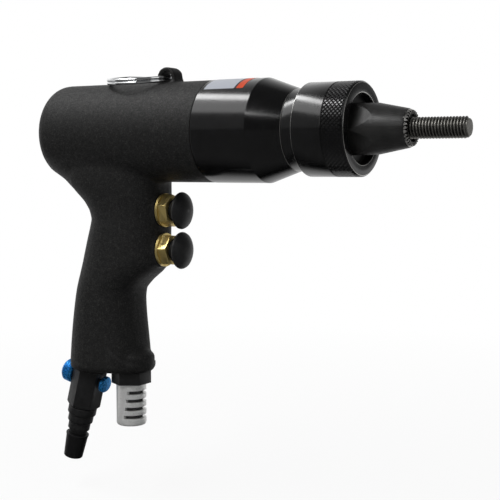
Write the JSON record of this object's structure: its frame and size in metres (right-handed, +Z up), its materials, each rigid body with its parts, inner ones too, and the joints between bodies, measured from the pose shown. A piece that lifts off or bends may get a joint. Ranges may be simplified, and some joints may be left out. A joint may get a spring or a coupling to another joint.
{
  "type": "rivet nut tool",
  "caption": "Pistol-grip pneumatic rivet nut tool: air motor and planetary gear spin a threaded mandrel through a toothed nosepiece, with push buttons, hanging ring, regulator and silencer.",
  "frame": {"origin": "centre of the nosepiece face, on the mandrel axis", "axes": "+X out along the mandrel, +Y to the left of someone holding the tool, +Z up, from the grip towards the hanging ring"},
  "size_m": [0.2335, 0.0516, 0.2122],
  "materials": {
    "housing_coat": "matte black powder coat, fine textured, on a casting",
    "gloss_black": "gloss black oxide",
    "nose_black": "satin black oxide, bright on the teeth",
    "mandrel_steel": "dark hardened steel",
    "bearing_steel": "ground",
    "gear_steel": "hobbed, oiled",
    "motor_iron": "machined",
    "vane_fibre": "laminated fibre",
    "brass": "polished",
    "button_rubber": "matte",
    "seal_rubber": "matte",
    "spring_steel": "drawn wire",
    "ring_chrome": "plated",
    "inlet_black": "matte black oxide",
    "blue_anodised": "blue anodised",
    "silencer_aluminium": "fine blasted",
    "felt": "pressed felt"
  },
  "bodies": {
    "frame": {"housing": "housing_coat", "gear_case": "gloss_black", "sleeve": "gloss_black", "nosepiece": "nose_black", "thrust_bearing": "bearing_steel", "spindle_bearing_outer": "bearing_steel", "ring_gear": "gear_steel", "front_end_plate": "motor_iron", "front_bearing_outer": "bearing_steel", "motor_cylinder": "motor_iron", "rear_end_plate": "motor_iron", "rear_bearing_outer": "bearing_steel", "upper_valve_bush": "brass", "lower_valve_bush": "brass", "upper_button_spring": "spring_steel", "lower_button_spring": "spring_steel", "inlet_body": "inlet_black", "inlet_nipple": "inlet_black", "silencer": "silencer_aluminium", "silencer_collar": "inlet_black", "silencer_felt": "felt"},
    "spindle": {"mandrel": "mandrel_steel", "thrust_washer": "bearing_steel", "drive_bit": "mandrel_steel", "planet_carrier": "gear_steel", "planet_pins": "bearing_steel", "spindle_bearing_inner": "bearing_steel"},
    "rotor": {"rotor": "gear_steel", "rotor_vanes": "vane_fibre", "front_bearing_inner": "bearing_steel", "rear_bearing_inner": "bearing_steel"},
    "planet_1": {"planet_gear_1": "gear_steel"},
    "planet_2": {"planet_gear_2": "gear_steel"},
    "planet_3": {"planet_gear_3": "gear_steel"},
    "upper_button": {"upper_button": "button_rubber", "upper_valve_stem": "bearing_steel", "upper_valve_seal": "seal_rubber"},
    "lower_button": {"lower_button": "button_rubber", "lower_valve_stem": "bearing_steel", "lower_valve_seal": "seal_rubber"},
    "hang_ring": {"hang_ring": "ring_chrome"},
    "regulator": {"regulator_spindle": "blue_anodised", "regulator_knob": "blue_anodised"},
    "dust_cap": {"dust_cap": "seal_rubber"}
  },
  "joints": [
    {"name": "upper_button_press", "type": "slide", "parent": "frame", "child": "upper_button", "axis": [-1, 0, 0], "range_m": [0, 0.0025], "stiffness_N_per_m": 1200, "springref_m": -0.004, "deforming": ["upper_button_spring"]},
    {"name": "lower_button_press", "type": "slide", "parent": "frame", "child": "lower_button", "axis": [-1, 0, 0], "range_m": [0, 0.0025], "stiffness_N_per_m": 1200, "springref_m": -0.004, "deforming": ["lower_button_spring"]},
    {"name": "ring_swing", "type": "hinge", "parent": "frame", "child": "hang_ring", "pos_m": [-0.1343, 0, 0.02765], "axis": [0, 1, 0], "range_deg": [0, 175]},
    {"name": "rotor_spin", "type": "hinge", "parent": "frame", "child": "rotor", "pos_m": [0, 0, 0], "axis": [1, 0, 0], "continuous": true},
    {"name": "mandrel_spin", "type": "hinge", "parent": "frame", "child": "spindle", "pos_m": [0, 0, 0], "axis": [1, 0, 0], "continuous": true},
    {"name": "planet_spin_1", "type": "hinge", "parent": "spindle", "child": "planet_1", "pos_m": [-0.0855, 0, -0.012], "axis": [1, 0, 0], "continuous": true},
    {"name": "planet_spin_2", "type": "hinge", "parent": "spindle", "child": "planet_2", "pos_m": [-0.0855, 0.01039, 0.006], "axis": [1, 0, 0], "continuous": true},
    {"name": "planet_spin_3", "type": "hinge", "parent": "spindle", "child": "planet_3", "pos_m": [-0.0855, -0.01039, 0.006], "axis": [1, 0, 0], "continuous": true},
    {"name": "regulator_turn", "type": "hinge", "parent": "frame", "child": "regulator", "pos_m": [-0.18928, 0, -0.13299], "axis": [0.9681, 0, -0.2504], "range_deg": [0, 90]},
    {"name": "dust_cap_pull", "type": "slide", "parent": "frame", "child": "dust_cap", "axis": [-0.2504, 0, -0.9681], "range_m": [0, 0.014]}
  ],
  "couplings": [
    {"joint": "mandrel_spin", "follows": "rotor_spin", "ratio": 0.2},
    {"joint": "planet_spin_1", "follows": "rotor_spin", "ratio": -0.53333},
    {"joint": "planet_spin_2", "follows": "rotor_spin", "ratio": -0.53333},
    {"joint": "planet_spin_3", "follows": "rotor_spin", "ratio": -0.53333}
  ]
}
